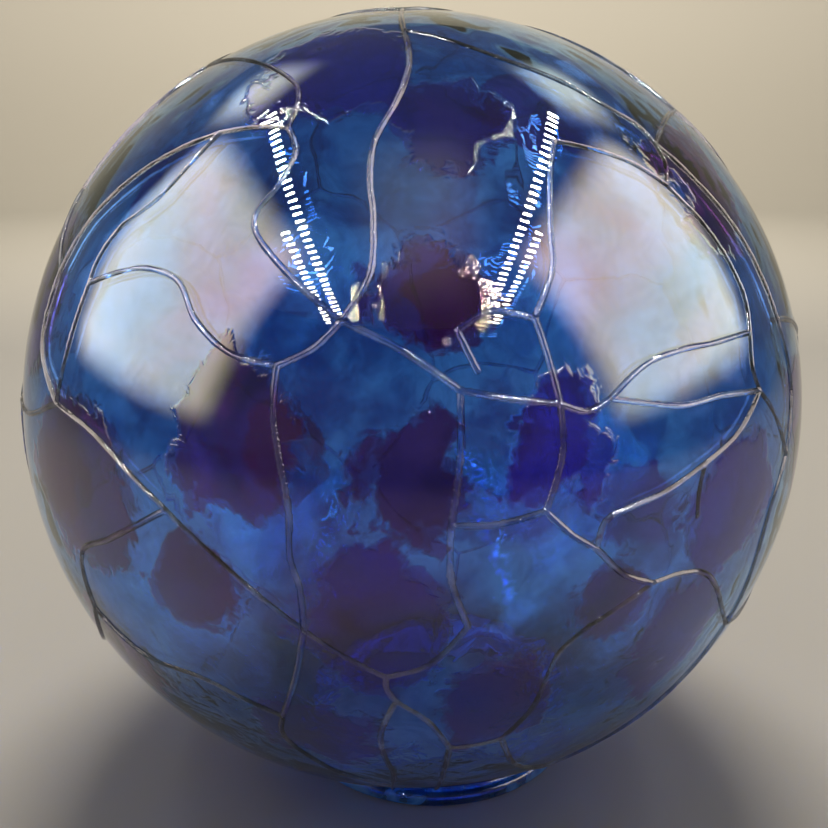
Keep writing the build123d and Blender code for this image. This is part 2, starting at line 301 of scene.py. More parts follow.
room = bpy.data.worlds.new("room")
bpy.context.scene.world = room
room.use_nodes = True
room_light = room.node_tree.nodes["Background"].inputs
room_light["Color"].default_value = colour("#C9C2B4")
room_light["Strength"].default_value = 0.3
# The plain display transform keeps the hex colours above as they are, and the lights white
bpy.context.scene.view_settings.view_transform = "Standard"

# %% [markdown]
# ## The violet chips
# On the real ball these are chips of amethyst glass that were picked up hot and blown out
# with the bubble, so each has a soft, uneven outline. They lie in the same skin as the blue,
# and a second piece of glass there would only double every reflection. So the ball is one
# piece that stands for the shell and all its chips, and each point of it carries a number:
# how far it lies inside the nearest chip, in millimetres. The glass then turns from blue to
# violet a little outside the chip's outline, with an edge as crisp or feathered as wanted.
# A chip is a place on the ball and the reach of its outline at even turns, in degrees.

# %% Chips by place and outline
CHIPS = {
    "patch_crown_left": (-17, 61, (9, 8, 7, 9, 11, 9)),
    "patch_crown_right": (8, 50, (6, 5, 7, 7, 6, 5)),
    "patch_shoulder_right": (51, 40, (6, 9, 8, 6, 9, 8)),
    "patch_shoulder_left": (-66, 24, (7, 9, 8, 6, 9, 10)),
    "patch_brow": (1, 27, (7, 5, 5, 6, 5, 4)),
    "patch_cheek_left": (-20, 12, (5, 7, 8, 6, 8, 8)),
    "patch_cheek_right": (16, 12, (4, 5, 4, 3, 5, 4)),
    "patch_middle": (-1, 9, (4, 7, 6, 4, 6, 7)),
    "patch_belly": (-4, -8, (8, 7, 8, 7, 7, 7)),
    "patch_belly_right": (10, -20, (6, 7, 6, 5, 7, 6)),
    "patch_waist_left": (-46, 2, (13, 9, 10, 11, 8, 9)),
    "patch_waist_right": (39, 0, (9, 9, 6, 6, 7, 6)),
    "patch_chip_right": (23, -6, (4, 5, 4, 4, 5, 4)),
    "patch_chip_left": (-26, -5, (4, 3, 5, 4, 5, 4)),
    "patch_hip_right": (34, -17, (6, 7, 7, 5, 8, 7)),
    "patch_hip_left": (-46, -24, (7, 5, 7, 8, 5, 6)),
    "patch_hip_front": (-11, -28, (6, 5, 6, 7, 5, 6)),
    "patch_flank_right": (66, 4, (6, 8, 9, 6, 8, 7)),
    "patch_flank_left": (-84, -8, (9, 7, 9, 10, 8, 7)),
    "patch_back_high": (140, 52, (12, 9, 10, 12, 9, 8)),
    "patch_back_right": (112, 12, (9, 11, 8, 9, 12, 10)),
    "patch_back_middle": (172, 6, (10, 8, 11, 9, 10, 12)),
    "patch_back_left": (-118, 34, (11, 9, 8, 12, 9, 9)),
    "patch_back_low": (-148, -26, (9, 11, 10, 8, 9, 8)),
    "patch_back_hip": (120, -30, (8, 7, 9, 10, 7, 8)),
}
PLUM_STEP = 0.38  # each chip takes a tint this much further along from violet to plum, going round


def depth_in_chips(ways):
    """For unit vectors from the ball's centre: mm inside the nearest chip, and that chip's tint."""
    deepest = np.full(len(ways), -99.0)
    tint = np.zeros(len(ways))
    for number, (longitude, latitude, reach) in enumerate(CHIPS.values()):
        out = np.array((on_ball(longitude, latitude) - BALL).normalized())
        east = np.cross((0, 0, 1), out)
        east /= np.linalg.norm(east)
        north = np.cross(out, east)
        bearing = np.arctan2(ways @ north, ways @ east) % (2 * np.pi)
        step = bearing / (2 * np.pi) * len(reach)
        before = step.astype(int) % len(reach)
        share = (1 - np.cos((step % 1) * np.pi)) / 2
        edge = np.array(reach)[before] * (1 - share) + np.roll(reach, -1)[before] * share
        off = np.degrees(np.arccos(np.clip(ways @ out, -1, 1)))
        inside = np.radians(edge - off) * BALL_R / MM
        nearer = inside > deepest
        deepest[nearer] = inside[nearer]
        tint[nearer] = (number * PLUM_STEP) % 1.0
    return deepest, tint


print(len(CHIPS), "chips")

# %% [markdown]
# ## The ball
# A sphere primitive has no wall and no mouth. So the ball is turned ring by ring from its
# crown down to the mouth, first the outer skin and then the inner one, and the two are
# joined round the mouth. The mouth isn't under the ball's centre, because the ball leans, so
# each meridian runs to its own point of the mouth's edge. The inner skin wanders a little in
# thickness, as blown glass does, and that is what bends the light into soft streaks.

# %% Turn the ball
AROUND, DOWN_OUTER, DOWN_INNER = 320, 170, 120
MOUTH_R = BORE_R + 0.5 * MM  # the collar's glass laps this edge
WANDER = 0.1 * MM  # how much the inner skin strays from round
MOUTH_FADE = 8  # the wander dies away over the last 1/8 of the way to the mouth


def skin(radius, rings, wander=0.0):
    """Points of one skin: the crown, then ring after ring to the mouth."""
    turn = np.arange(AROUND) / AROUND * 2 * np.pi
    edge = np.stack([MOUTH_R * np.cos(turn) - BALL.x, MOUTH_R * np.sin(turn) - BALL.y], axis=1)
    flat = np.linalg.norm(edge, axis=1)
    heading = np.arctan2(edge[:, 1], edge[:, 0])
    last = np.pi - np.arcsin(flat / radius)
    fall = last[None, :] * (np.arange(1, rings + 1) / rings)[:, None]
    ways = np.stack(
        [np.sin(fall) * np.cos(heading), np.sin(fall) * np.sin(heading), np.cos(fall)], axis=2
    ).reshape(-1, 3)
    ways = np.vstack([[0, 0, 1], ways])
    swell = np.sin(ways @ (5, 3, 4)) + np.sin(ways @ (-4, 7, 2) + 1) + np.sin(ways @ (3, -5, 8) + 2)
    if wander:
        swell += np.array([2.2 * fractal(Vector(w) * 7, 0.6, 2.0, 3) for w in ways])
    fade = np.clip((1 - (np.arange(len(ways)) - 1) / (AROUND * rings)) * MOUTH_FADE, 0, 1)
    return ways, radius + wander * swell * fade


def skin_faces(first, rings, inward):
    """Triangles at the crown and quads below it."""
    ring = first + 1 + np.arange(AROUND)
    faces = [(first, ring[i], ring[(i + 1) % AROUND]) for i in range(AROUND)]
    for k in range(rings - 1):
        upper = ring + k * AROUND
        lower = upper + AROUND
        faces += [
            (upper[i], lower[i], lower[(i + 1) % AROUND], upper[(i + 1) % AROUND])
            for i in range(AROUND)
        ]
    return [tuple(reversed(f)) for f in faces] if inward else faces


outer_ways, outer_r = skin(BALL_R, DOWN_OUTER)
inner_ways, inner_r = skin(BALL_R - WALL, DOWN_INNER, wander=WANDER)
places = np.vstack([outer_ways * outer_r[:, None], inner_ways * inner_r[:, None]]) + np.array(BALL)
inner_first = len(outer_ways)
faces = skin_faces(0, DOWN_OUTER, False) + skin_faces(inner_first, DOWN_INNER, True)
outer_edge = inner_first - AROUND + np.arange(AROUND)
inner_edge = len(places) - AROUND + np.arange(AROUND)
faces += [
    (outer_edge[i], inner_edge[i], inner_edge[(i + 1) % AROUND], outer_edge[(i + 1) % AROUND])
    for i in range(AROUND)
]
ball_mesh = bpy.data.meshes.new("glass_ball")
ball_mesh.from_pydata(places.tolist(), [], [tuple(int(v) for v in f) for f in faces])
ball_mesh.polygons.foreach_set("use_smooth", [True] * len(faces))
glass_ball = bpy.data.objects.new("glass_ball", ball_mesh)
bpy.context.scene.collection.objects.link(glass_ball)
depth, tint = depth_in_chips(np.vstack([outer_ways, inner_ways]))
for name, values in (("chip_depth", depth), ("chip_tint", tint)):
    layer = ball_mesh.attributes.new(name, "FLOAT", "POINT")
    layer.data.foreach_set("value", values.astype(np.float32))
print("ball:", len(places), "points,", f"{(depth > 0).mean():.0%} of them in a chip")

# %% [markdown]
# ## The glass of the ball
# Blue and amethyst soda glass, blown and fumed with a thin metal lustre. Soda glass bends
# light by 1.5, and what its skin mirrors is raised by the lustre, so the specular level is
# above the usual 0.5 and a thin film tints the reflections from yellow to lilac.
# The base colour tints the light once at each wall, so the two hex values here are paler
# than the colour that the eye sees through two walls.
# The chips' edges are feathered by two noises, one as coarse as a finger's breadth and one
# that draws them into wisps. The same edge lifts the skin by a hair, which is what breaks
# the reflections along it. Low down, the inner skin is crinkled from the shaping of the neck,
# and mirrors the lamps back through the blue as broken sparks.

# %% Ball glass
BLUE_DEEP, BLUE_PALE = "#286CBC", "#74B4F4"
VIOLET, PLUM = "#4232A8", "#6E3C84"
COARSE_FEATHER, WISP_FEATHER = 26.0, 8.0  # mm that each noise can move a chip's edge, in all
EDGE_FROM, EDGE_TO = -2.8, -0.6  # mm of depth over which blue turns to violet
CRINKLE = 3.0  # height of the inner skin's crinkles, in steps of the skin bump
SKIN_STEP = 0.12 * MM
FILM_THIN, FILM_THICK = 275, 315  # nm of lustre


def noise(tree, place, grain_mm, detail=2.0, stretch=0.0):
    """A noise whose lumps are about grain_mm across."""
    return add(
        tree, "ShaderNodeTexNoise", {"Vector": place},
        Scale=1 / (grain_mm * MM), Detail=detail, Distortion=stretch,
    ).outputs["Fac"]


def math_node(tree, operation, *values):
    return add(
        tree, "ShaderNodeMath", dict(enumerate(values)), {"operation": operation}
    ).outputs[0]


def blend_colours(tree, share, one, other):
    return add(
        tree, "ShaderNodeMix", {"Factor": share, 6: one, 7: other}, {"data_type": "RGBA"}
    ).outputs[2]


def ramp(tree, value, low, high, out_low=0.0, out_high=1.0):
    return add(
        tree, "ShaderNodeMapRange", {"Value": value}, {"interpolation_type": "SMOOTHSTEP"},
        From_Min=low, From_Max=high, To_Min=out_low, To_Max=out_high,
    ).outputs["Result"]


def about_ball(tree):
    """Places measured from the ball's centre."""
    spot = add(tree, "ShaderNodeTexCoord").outputs["Object"]
    return add(tree, "ShaderNodeMapping", {"Vector": spot}, Location=-BALL).outputs[0]


ball_glass, tree = new_material("lustred_blown_glass")
place = about_ball(tree)
inside = add(tree, "ShaderNodeAttribute", settings={"attribute_name": "chip_depth"}).outputs["Fac"]
tint_of = add(tree, "ShaderNodeAttribute", settings={"attribute_name": "chip_tint"}).outputs["Fac"]
coarse = noise(tree, place, 18, 3, 0.8)
coarse = math_node(tree, "MULTIPLY_ADD", coarse, COARSE_FEATHER, -COARSE_FEATHER / 2)
wisps = noise(tree, place, 4, 4, 1.5)
wisps = math_node(tree, "MULTIPLY_ADD", wisps, WISP_FEATHER, -WISP_FEATHER / 2)
edge = math_node(tree, "ADD", math_node(tree, "ADD", inside, coarse), wisps)
in_chip = ramp(tree, edge, EDGE_FROM, EDGE_TO)
broad_cloud = noise(tree, place, 38, 3, 1.0)
cloud = math_node(tree, "MULTIPLY_ADD", noise(tree, place, 11, 4, 2.0), 0.5, broad_cloud)
blue = blend_colours(tree, ramp(tree, cloud, 0.56, 0.9), colour(BLUE_DEEP), colour(BLUE_PALE))
plum_share = math_node(tree, "MULTIPLY_ADD", noise(tree, place, 24, 2), 0.8, tint_of)
violet = blend_colours(tree, ramp(tree, plum_share, 0.5, 1.2), colour(VIOLET), colour(PLUM))
mixed = blend_colours(tree, in_chip, blue, violet)
lift = math_node(tree, "MULTIPLY_ADD", noise(tree, place, 14, 2), 0.5, in_chip)
# The crinkles: only on the inner skin, and only in the lower half
from_centre = add(tree, "ShaderNodeVectorMath", {0: place}, {"operation": "LENGTH"})
INNER_SKIN, OUTER_SKIN = BALL_R - 0.75 * WALL, BALL_R - 0.25 * WALL
inner = ramp(tree, from_centre.outputs["Value"], INNER_SKIN, OUTER_SKIN, 1.0, 0.0)
up = add(tree, "ShaderNodeSeparateXYZ", {"Vector": place}).outputs["Z"]
low = ramp(tree, up, -0.45 * BALL_R, -0.1 * BALL_R, 1.0, 0.0)
inner_and_low = math_node(tree, "MULTIPLY", inner, low)
crinkle = math_node(tree, "MULTIPLY", noise(tree, place, 9, 2, 1.5), inner_and_low)
lift = math_node(tree, "MULTIPLY_ADD", crinkle, CRINKLE, lift)
skin_bump = add(tree, "ShaderNodeBump", {"Height": lift}, Strength=0.6, Distance=SKIN_STEP)
dull = ramp(tree, noise(tree, place, 20, 3, 1.0), 0.4, 0.8, 0.0, 0.05)
film = ramp(tree, noise(tree, place, 30, 2, 0.5), 0.3, 0.7, FILM_THIN, FILM_THICK)
shader = add(
    tree, "ShaderNodeBsdfPrincipled",
    {
        "Base Color": mixed,
        "Roughness": dull,
        "Normal": skin_bump.outputs[0],
        "Thin Film Thickness": film,
    },
    IOR=1.5, Transmission_Weight=1.0, Specular_IOR_Level=0.62, Thin_Film_IOR=1.6,
)
finish_material(tree, shader)
ball_mesh.materials.append(ball_glass)
print("ball glass:", len(tree.nodes), "nodes")

# %% [markdown]
# ## The honeycomb web
# Threads of clear glass, laid on the hot ball and sunk a little into it. They meet in forks,
# and round the front they outline large cells. A tube along each thread would look like wire
# and cross its neighbours at every fork. So the web is raised from the ball itself: Geometry
# Nodes take a fine sphere, keep what lies near a thread, and lift each point by its distance
# from the thread's middle. The lift dies away on both sides, so the threads have skirts
# that melt into the ball, and at a fork they flow together.
# The forks and the bends between them are places on the ball, in degrees.

# %% Forks and threads
FORKS = {
    "t1": (-10, 83), "t2": (120, 80), "t3": (80, 69), "t4": (-125, 70), "t5": (-75, 60),
    "s1": (-3, 69), "s2": (45, 45), "s3": (41, 39), "s4": (23, 46), "s5": (72, 50),
    "s6": (88, 30), "s7": (118, 54), "s8": (108, 36), "s9": (150, 48), "s10": (178, 60),
    "s11": (-150, 52), "s12": (-118, 50), "s13": (-100, 42), "s14": (-76, 36),
    "s15": (-34, 47), "s16": (-21, 48), "s17": (14, 25), "s18": (5, 24),
    "w1": (-8, 25), "w2": (5, 18), "w3": (14, 5), "w4": (16, 16), "w5": (22, 16),
    "w6": (20, 0), "w7": (35, 7), "w8": (47, 13), "w9": (47, 20), "w10": (57, 20),
    "w11": (55, 3), "w12": (76, 14), "w13": (122, 14), "w14": (146, 10), "w15": (156, 28),
    "w16": (-178, 20), "w17": (-158, 32), "w18": (-138, 18), "w19": (-112, 24),
    "w20": (-92, 10), "w21": (-72, 6), "w22": (-58, 26), "w23": (-49, 11),
    "w24": (-47, 26), "w25": (-28, 3), "w26": (-15, 20), "w27": (4, 4),
    "b1": (-12, -9), "b2": (-3, -15), "b3": (6, -8), "b4": (-2, -19), "b5": (20, -10),
    "b6": (28, -6), "b7": (49, -20), "b8": (72, -20), "b9": (84, -4), "b10": (104, -8),
    "b11": (110, -30), "b12": (138, -32), "b13": (152, -10), "b14": (176, -12),
    "b15": (-168, -34), "b16": (-140, -8), "b17": (-116, -20), "b18": (-96, -16),
    "b19": (-72, -16), "b20": (-62, -30), "b21": (-47, -16), "b22": (-17, -24),
    "f1": (-4, -45), "f2": (5, -29), "f3": (12, -28), "f4": (28, -46), "f5": (74, -46),
    "f6": (165, -52), "f7": (-125, -50), "f8": (-70, -50),
}
WEBS = {
    "web_front": [
        ["w1", (-11, 22), "w26"],
        ["w1", (-1, 22), "w2"],
        ["w26", (-15, 15), (-14, 10), (-13, 5), (-13, 0), (-12, -4), "b1"],
        ["w2", (5, 12), "w27"],
        ["w27", (4, -2), "b3"],
        ["b1", (-8, -12), "b2"],
        ["b2", (2, -13), "b3"],
        ["b2", (-3, -17), "b4"],
        ["w3", (9, 4), "w27"],
        ["w3", (16, 11), "w4"],
        ["w2", (10, 17), "w4"],
        ["w4", (19, 15), "w5"],
        ["w3", (17, 2), "w6"],
        ["w6", (24, -4), "b6"],
        ["b5", (24, -8), "b6"],
        ["s18", (6, 22), (7, 20)],
        ["s18", (9, 26), "s17"],
        ["s17", (15, 21), "w4"],
    ],
    "web_crown": [
        ["t1", (-6, 76), "s1"],
        ["s1", (-1, 63), (-1, 58), (-3, 52), (-6, 46), (-6, 41), (-5, 36), (-5, 30), "w1"],
        ["w1", (-14, 29), (-21, 35), (-19, 40), (-18, 44), (-19, 46), "s16"],
        ["s16", (-22, 53), (-28, 57), (-48, 61), "t5"],
        ["s1", (10, 66), (22, 61), (33, 56), (40, 51), (44, 48), "s2"],
        ["s2", (44, 42), "s3"],
        ["s3", (37, 42), (32, 44), (28, 45), "s4"],
        ["s4", (20, 41), (18, 35), (17, 30), "s17"],
        ["t1", (60, 86), "t2"],
        ["t1", (-90, 79), "t4"],
        ["t2", (95, 75), "t3"],
        ["t4", (-98, 66), "t5"],
    ],
    "web_left": [
        ["s16", (-27, 48), "s15"],
        ["s15", (-44, 43), (-52, 37), (-56, 32), "w22"],
        ["w22", (-57, 17), "w23"],
        ["s15", (-39, 38), (-45, 33), (-47, 29), "w24"],
        ["w24", (-48, 18), "w23"],
        ["w26", (-21, 21), (-26, 24), (-30, 28), (-36, 29), (-41, 28), "w24"],
        ["w23", (-39, 9), "w25"],
        ["w25", (-21, -2), "b1"],
        ["w25", (-33, 0), (-38, -3), (-45, -7), "b21"],
        ["b22", (-22, -22), (-28, -20), (-38, -20), "b21"],
        ["b22", (-14, -17), "b1"],
        ["w23", (-60, 7), "w21"],
        ["b21", (-53, -24), "b20"],
    ],
    "web_right": [
        ["w5", (27, 19), (33, 20), (39, 20), "w9"],
        ["w5", (27, 15), (32, 14), (39, 14), "w8"],
        ["s3", (46, 32), (48, 26), (48, 23), "w9"],
        ["w9", (46, 16), "w8"],
        ["w8", (41, 9), "w7"],
        ["w7", (34, 4), (34, 1)],
        ["w6", (21, 3), (24, 4), (29, 5), "w7"],
        ["w8", (51, 9), "w11"],
        ["w11", (58, 11), "w10"],
        ["w10", (54, 32), "s2"],
        ["w11", (51, -3), (50, -9), (50, -15), "b7"],
        ["b6", (33, -6), (38, -8), (45, -16), "b7"],
        ["w10", (66, 18), "w12"],
    ],
    "web_back_right": [
        ["w12", (83, 21), "s6"],
        ["w12", (81, 4), "b9"],
        ["s2", (58, 49), "s5"],
        ["s5", (82, 40), "s6"],
        ["s5", (74, 60), "t3"],
        ["s6", (98, 34), "s8"],
        ["s8", (116, 25), "w13"],
        ["s8", (112, 45), "s7"],
        ["s7", (100, 63), "t3"],
        ["s7", (134, 53), "s9"],
        ["b9", (94, -7), "b10"],
        ["b9", (79, -12), "b8"],
        ["b8", (60, -22), "b7"],
        ["b10", (114, 3), "w13"],
        ["b10", (106, -19), "b11"],
        ["w13", (134, 13), "w14"],
        ["w14", (152, 19), "w15"],
        ["w14", (150, 0), "b13"],
        ["s9", (154, 38), "w15"],
        ["b11", (124, -33), "b12"],
        ["b12", (146, -21), "b13"],
    ],
    "web_back_left": [
        ["t2", (165, 71), "s10"],
        ["s9", (163, 55), "s10"],
        ["s10", (-168, 57), "s11"],
        ["w15", (169, 25), "w16"],
        ["w16", (-169, 27), "w17"],
        ["w16", (180, 4), "b14"],
        ["w17", (-155, 42), "s11"],
        ["w17", (-147, 26), "w18"],
        ["s11", (-134, 53), "s12"],
        ["s12", (-123, 60), "t4"],
        ["s12", (-108, 47), "s13"],
        ["w18", (-124, 23), "w19"],
        ["w18", (-140, 5), "b16"],
        ["w19", (-107, 33), "s13"],
        ["w19", (-101, 18), "w20"],
        ["s13", (-88, 40), "s14"],
        ["s14", (-66, 30), "w22"],
        ["s14", (-74, 48), "t5"],
        ["w20", (-82, 9), "w21"],
        ["w20", (-95, -3), "b18"],
        ["w21", (-71, -5), "b19"],
        ["b13", (164, -9), "b14"],
        ["b14", (-176, -24), "b15"],
        ["b15", (-155, -21), "b16"],
        ["b16", (-128, -15), "b17"],
        ["b17", (-106, -19), "b18"],
        ["b18", (-84, -17), "b19"],
        ["b19", (-66, -22), "b20"],
    ],
    "web_foot": [
        ["b4", (2, -23), "f2"],
        ["b4", (-4, -25), (-4, -31), (-3, -38), "f1"],
        ["f2", (8, -29), "f3"],
        ["f3", (15, -22), (16, -17), (17, -13), "b5"],
        ["b22", (-18, -29), (-15, -35), (-11, -40), "f1"],
        ["f1", (-5, -60), (-8, -80)],
        ["f2", (5, -50), (6, -80)],
        ["f3", (17, -38), "f4"],
        ["f4", (42, -36), "b7"],
        ["f4", (30, -60), (40, -80)],
        ["b8", (74, -33), "f5"],
        ["f5", (94, -41), "b11"],
        ["f5", (78, -62), (90, -80)],
        ["b12", (148, -43), "f6"],
        ["f6", (178, -45), "b15"],
        ["f6", (166, -65), (160, -80)],
        ["b17", (-118, -36), "f7"],
        ["f7", (-98, -53), "f8"],
        ["f7", (-130, -65), (-140, -80)],
        ["b20", (-66, -40), "f8"],
        ["f8", (-72, -64), (-80, -80)],
    ],
}
print(sum(len(trails) for trails in WEBS.values()), "threads,", len(FORKS), "forks")

# %% [markdown]
# ## Nodes that raise a web
# The tree takes plain edges from point to point, as a wire mesh. It rounds them into smooth
# threads, keeps them on the ball, and lets them wander by a few tenths of a millimetre. A
# coarse sphere is thinned to the faces near a thread before it is refined, so that the work
# stays small. The strip that is left is extruded, so that the piece is closed underneath,
# and only its top is lifted. Its underside and its edges lie just inside the ball's wall.

# %% Web node tree
THREAD_HALF = 0.32 * MM  # distance at which a thread has fallen to about a third of its height
THREAD_UP = 0.78 * MM
CURVE_STEP = 0.8 * MM  # between points along a thread
WELD_WITHIN = 0.002 * MM
EXTRUDED_BY = 0.05 * MM  # only parts the top from the underside, before the top is placed
web_tree = bpy.data.node_groups.new("raise_web", "GeometryNodeTree")
face = web_tree.interface
face.new_socket("Geometry", in_out="INPUT", socket_type="NodeSocketGeometry")
WEB_INPUTS = {
    "Ball Centre": ("NodeSocketVector", tuple(BALL)),
    "Ball Radius": ("NodeSocketFloat", BALL_R),
    "Thread Height": ("NodeSocketFloat", THREAD_UP),
    "Thread Half Width": ("NodeSocketFloat", THREAD_HALF),
    "Skirt Depth": ("NodeSocketFloat", 0.06 * MM),
    "Sunk Depth": ("NodeSocketFloat", 0.16 * MM),
    "Strip Half Width": ("NodeSocketFloat", 0.7 * MM),
    "Wander": ("NodeSocketFloat", 0.5 * MM),
    "Seed": ("NodeSocketFloat", 4.0),
    "Material": ("NodeSocketMaterial", None),
}
for name, (kind, value) in WEB_INPUTS.items():
    socket = face.new_socket(name, in_out="INPUT", socket_type=kind)
    if value is not None:
        socket.default_value = value
face.new_socket("Geometry", in_out="OUTPUT", socket_type="NodeSocketGeometry")
g = web_tree
given = g.nodes.new("NodeGroupInput").outputs


def g_math(operation, *values):
    return add(g, "ShaderNodeMath", dict(enumerate(values)), {"operation": operation}).outputs[0]


def g_vector(operation, *values, out="Vector"):
    node = add(g, "ShaderNodeVectorMath", settings={"operation": operation})
    for number, value in enumerate(values):
        is_scale = operation == "SCALE" and number == 1
        socket = node.inputs["Scale"] if is_scale else node.inputs[number]
        if isinstance(value, bpy.types.NodeSocket):
            g.links.new(value, socket)
        else:
            socket.default_value = value
    return node.outputs[out]


here = add(g, "GeometryNodeInputPosition").outputs[0]
outward = g_vector("NORMALIZE", g_vector("SUBTRACT", here, given["Ball Centre"]))


def at_radius(way, radius):
    return g_vector("ADD", given["Ball Centre"], g_vector("SCALE", way, radius))


# Smooth threads, wandering a little, on the ball
as_curve = add(g, "GeometryNodeMeshToCurve", {"Mesh": given["Geometry"]})
rounded = add(
    g, "GeometryNodeCurveSplineType", {"Curve": as_curve.outputs[0]}, {"spline_type": "CATMULL_ROM"}
)
even = add(
    g, "GeometryNodeResampleCurve", {"Curve": rounded.outputs[0]}, {"mode": "LENGTH"},
    Length=CURVE_STEP,
)
drift = add(
    g, "ShaderNodeTexNoise", {"Vector": outward, "W": given["Seed"]}, {"noise_dimensions": "4D"},
    Scale=9.0, Detail=2.0,
)
either_way = g_vector("SUBTRACT", drift.outputs["Color"], (0.5, 0.5, 0.5))
sideways = g_vector("SCALE", either_way, given["Wander"])
drifted = g_vector("SUBTRACT", g_vector("ADD", here, sideways), given["Ball Centre"])
back_on_ball = at_radius(g_vector("NORMALIZE", drifted), given["Ball Radius"])
threads = add(
    g, "GeometryNodeSetPosition", {"Geometry": even.outputs[0], "Position": back_on_ball}
)
lines = add(g, "GeometryNodeCurveToMesh", {"Curve": threads.outputs[0]}).outputs[0]
nearest = add(g, "GeometryNodeProximity", {"Target": lines}, {"target_element": "EDGES"})
off = nearest.outputs["Distance"]

# A sphere of even squares, thinned to the strips beside the threads and then refined.
# It is a cube whose grid lines are spread by a tangent and then pushed out to the ball.
COARSE_EDGE = 2.3 * MM
SQUARES = 81
block = add(g, "GeometryNodeMeshCube", {"Size": (2, 2, 2)})
for count_name in ("Vertices X", "Vertices Y", "Vertices Z"):
    block.inputs[count_name].default_value = SQUARES
spread = g_vector("NORMALIZE", g_vector("TANGENT", g_vector("SCALE", here, math.pi / 4)))
moved = add(
    g, "GeometryNodeSetPosition",
    {"Geometry": block.outputs[0], "Position": at_radius(spread, given["Ball Radius"])},
)


def keep_near(mesh, reach):
    far = g_math("GREATER_THAN", off, reach)
    return add(
        g, "GeometryNodeDeleteGeometry", {"Geometry": mesh, "Selection": far}, {"domain": "FACE"}
    ).outputs[0]


near = keep_near(moved.outputs[0], g_math("ADD", given["Strip Half Width"], COARSE_EDGE))
fine = add(g, "GeometryNodeSubdivideMesh", {"Mesh": near}, Level=3).outputs[0]
sunk_radius = g_math("SUBTRACT", given["Ball Radius"], given["Sunk Depth"])
sunk_place = at_radius(outward, sunk_radius)
sunk = add(g, "GeometryNodeSetPosition", {"Geometry": fine, "Position": sunk_place})
underside = keep_near(sunk.outputs[0], given["Strip Half Width"])

# The top, lifted by a bell curve of the distance from the nearest thread
grown = add(
    g, "GeometryNodeExtrudeMesh", {"Mesh": underside}, Offset_Scale=EXTRUDED_BY, Individual=False
)
uneven = add(
    g, "ShaderNodeTexNoise", {"Vector": outward, "W": given["Seed"]}, {"noise_dimensions": "4D"},
    Scale=14.0, Detail=2.0,
).outputs["Fac"]
half = g_math("MULTIPLY", given["Thread Half Width"], g_math("ADD", uneven, 0.5))
fall = g_math("POWER", g_math("DIVIDE", off, half), 2.0)
bell = g_math("EXPONENT", g_math("MULTIPLY", fall, -1.0))
lift = g_math("SUBTRACT", g_math("MULTIPLY", bell, given["Thread Height"]), given["Skirt Depth"])
smooth_lift = add(g, "GeometryNodeBlurAttribute", {"Value": lift}, Iterations=1).outputs[0]
top = add(
    g, "GeometryNodeSetPosition",
    {
        "Geometry": grown.outputs["Mesh"],
        "Selection": grown.outputs["Top"],
        "Position": at_radius(outward, g_math("ADD", given["Ball Radius"], smooth_lift)),
    },
)
floor_faces = add(g, "GeometryNodeFlipFaces", {"Mesh": underside})
both = add(g, "GeometryNodeJoinGeometry")
g.links.new(floor_faces.outputs[0], both.inputs[0])
g.links.new(top.outputs[0], both.inputs[0])
welded = add(
    g, "GeometryNodeMergeByDistance", {"Geometry": both.outputs[0]}, Distance=WELD_WITHIN
)
shaded = add(g, "GeometryNodeSetShadeSmooth", {"Geometry": welded.outputs[0]})
real = add(g, "GeometryNodeRealizeInstances", {"Geometry": shaded.outputs[0]})
coated = add(
    g, "GeometryNodeSetMaterial", {"Geometry": real.outputs[0], "Material": given["Material"]}
)
add(g, "NodeGroupOutput", {"Geometry": coated.outputs[0]})
print("web tree:", len(g.nodes), "nodes")

# %% [markdown]
# ## The clear glass of the threads
# Clear soda glass again, but full of the finest bubbles from being drawn out hot, which
# gives it a pale, slightly milky look. So a small share of its light is scattered, and the
# rest is bent and mirrored as by any glass. The share varies along the thread.

# %% Thread glass
thread_glass, tree = new_material("drawn_clear_glass")
place = about_ball(tree)
milk = ramp(tree, noise(tree, place, 9, 3, 0.5), 0.38, 0.68)
pale = blend_colours(tree, milk, colour("#D5DCEC"), colour("#F4F2F8"))
ripple = add(
    tree, "ShaderNodeBump", {"Height": noise(tree, place, 2.5, 2)},
    Strength=0.4, Distance=0.05 * MM,
)
shader = add(
    tree, "ShaderNodeBsdfPrincipled",
    {
        "Base Color": pale,
        "Normal": ripple.outputs[0],
        "Roughness": ramp(tree, milk, 0.0, 1.0, 0.01, 0.08),
        "Transmission Weight": ramp(tree, milk, 0.0, 1.0, 1.0, 0.9),
    },
    IOR=1.5, Specular_IOR_Level=1.0,
)
finish_material(tree, shader)
print("thread glass:", len(tree.nodes), "nodes")

# %% [markdown]
# ## Lay the threads
# Each web is a wire mesh of its threads' points, which the tree turns into glass. Where two
# webs share a fork, the first one has it, and the other's thread stops just short of it, so
# that no two tops lie in exactly the same place. The result is stored as a plain mesh.

